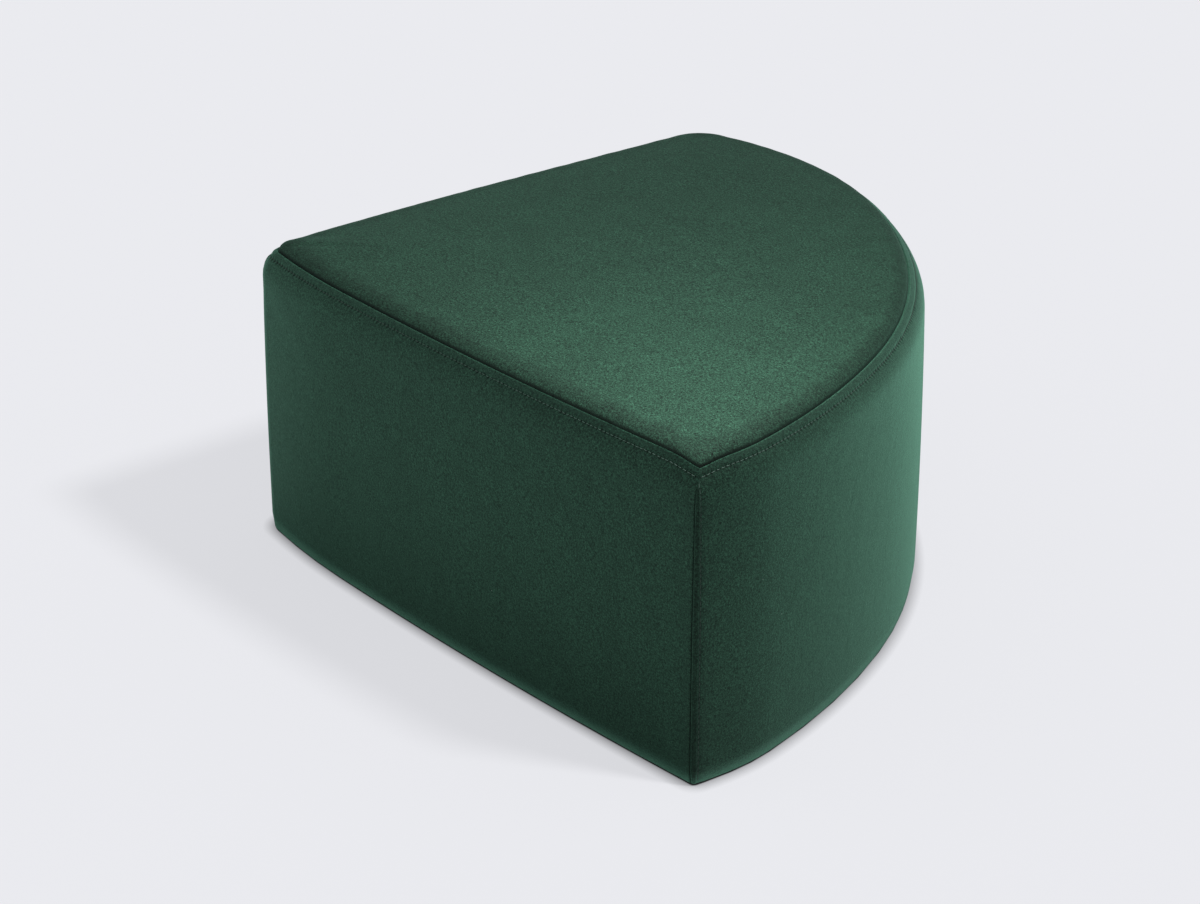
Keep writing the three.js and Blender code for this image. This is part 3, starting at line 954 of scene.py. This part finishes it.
# %% [markdown]
# The studio is a pale floor and soft lights. The photo's floor is almost evenly bright, with a pale
# shadow to the left, so most of the floor's light is its own, dimmed where the pouf stands on it. The
# floor isn't seen by the light that bounces between surfaces. The world below stands in for it.

# %% Floor
FLOOR_REACH = 9
FLOOR_SHINE = 0.659
FLOOR_GLOW = (0.995, 1.0, 1.045)
FLOOR_ALBEDO = 0.1
CONTACT_REACH = 14 * MM

floor_data = bpy.data.meshes.new("floor")
floor_corners = [(FLOOR_REACH * x, FLOOR_REACH * y, 0) for x, y in ((-1, -1), (1, -1), (1, 1), (-1, 1))]
floor_data.from_pydata(floor_corners, [], [(0, 1, 2, 3)])
floor = bpy.data.objects.new("floor", floor_data)
bpy.context.scene.collection.objects.link(floor)
floor.visible_diffuse = False
floor.visible_glossy = False

floor_material = bpy.data.materials.new("floor")
floor_material.use_nodes = True
tree = floor_material.node_tree
shader = tree.nodes["Principled BSDF"]
shader.inputs["Base Color"].default_value = (FLOOR_ALBEDO, FLOOR_ALBEDO, FLOOR_ALBEDO * 1.03, 1)
shader.inputs["Roughness"].default_value = 1.0
shader.inputs["Specular IOR Level"].default_value = 0.0
shader.inputs["Emission Strength"].default_value = FLOOR_SHINE
contact = tree.nodes.new("ShaderNodeAmbientOcclusion")
contact.inputs["Distance"].default_value = CONTACT_REACH
wire(tree, tinted(tree, FLOOR_GLOW, contact.outputs["AO"]), shader.inputs["Emission Color"])
floor_data.materials.append(floor_material)

# %% [markdown]
# In front of the flat side the floor lies in shadow and sends less light back up. A black card just
# under the floor does that here, because the light that bounces doesn't see the floor itself.

# %% Shade card
CARD_DEPTH = 0.16
CARD_HEIGHT = -2 * MM
CARD_POINTS = 24

card_spots, card_out = walk(np.linspace(0, RIGHT_SEAM, CARD_POINTS))
card_spots = card_spots - MIDDLE
card_rows = np.concatenate([card_spots, card_spots + card_out * CARD_DEPTH])
card_rows = np.concatenate([card_rows, np.full((2 * CARD_POINTS, 1), CARD_HEIGHT)], axis=1)
card_data = bpy.data.meshes.new("shade_card")
card_data.from_pydata(card_rows.tolist(), [], [
    (i, CARD_POINTS + i, CARD_POINTS + i + 1, i + 1) for i in range(CARD_POINTS - 1)])
card = bpy.data.objects.new("shade_card", card_data)
bpy.context.scene.collection.objects.link(card)
card_data.materials.append(simple_material("shade_card", (0.01, 0.01, 0.01), 1.0, 10, 0.0, MM))

# %% [markdown]
# Four lamps stand in for the photo's big soft light. Each lights only the pieces it is given, so that
# the top, the walls and the floor can be set one by one. The key draws the pale shadow on the floor,
# the overhead brightens the top towards the right corner, the curve lamp grazes the band's shoulder,
# and the rim comes low from the far right. The picture is shown as it is, without a film curve.

# %% Lights
WORLD_STRENGTH = 0.58
WORLD_COLOR = (0.97, 1.0, 1.03, 1)

world = bpy.data.worlds.new("studio")
bpy.context.scene.world = world
world.use_nodes = True
background = world.node_tree.nodes["Background"]
background.inputs["Strength"].default_value = WORLD_STRENGTH
background.inputs["Color"].default_value = WORLD_COLOR


def lamp(name, kind, energy, azimuth, elevation, size, lit, distance=3.0, target=(0, 0, 0.3)):
    """A light at an azimuth from +X towards +Y and an elevation, aimed at its target, for lit alone.
    The size is a sun's angle in degrees or an area lamp's width."""
    data = bpy.data.lights.new(name, kind)
    data.energy = energy
    if kind == "SUN":
        data.angle = math.radians(size)
    else:
        data.shape = "DISK"
        data.size = size
    azimuth, elevation = math.radians(azimuth), math.radians(elevation)
    level = math.cos(elevation)
    direction = Vector((math.cos(azimuth) * level, math.sin(azimuth) * level, math.sin(elevation)))
    light = bpy.data.objects.new(name, data)
    light.location = Vector(target) + direction * distance
    light.rotation_euler = direction.to_track_quat("Z", "Y").to_euler()
    bpy.context.scene.collection.objects.link(light)
    light.visible_camera = False
    light.light_linking.receiver_collection = bpy.data.collections.new(name + "_lit")
    for piece in lit:
        light.light_linking.receiver_collection.objects.link(piece)


lamp("key", "SUN", 4.6, 32, 50, size=9, lit=[floor])
lamp("overhead", "AREA", 5.6, -45, 88, size=0.4, lit=[top, thread],
     distance=0.5, target=(0.33, -0.25, 0.32))
lamp("curve", "AREA", 1.1, 35, 84, size=0.2, lit=[band, thread],
     distance=0.4, target=(0.34, 0.0, 0.31))
lamp("rim", "SUN", 0.3, 108, 7, size=24, lit=[band, thread])

bpy.context.scene.view_settings.view_transform = "Standard"
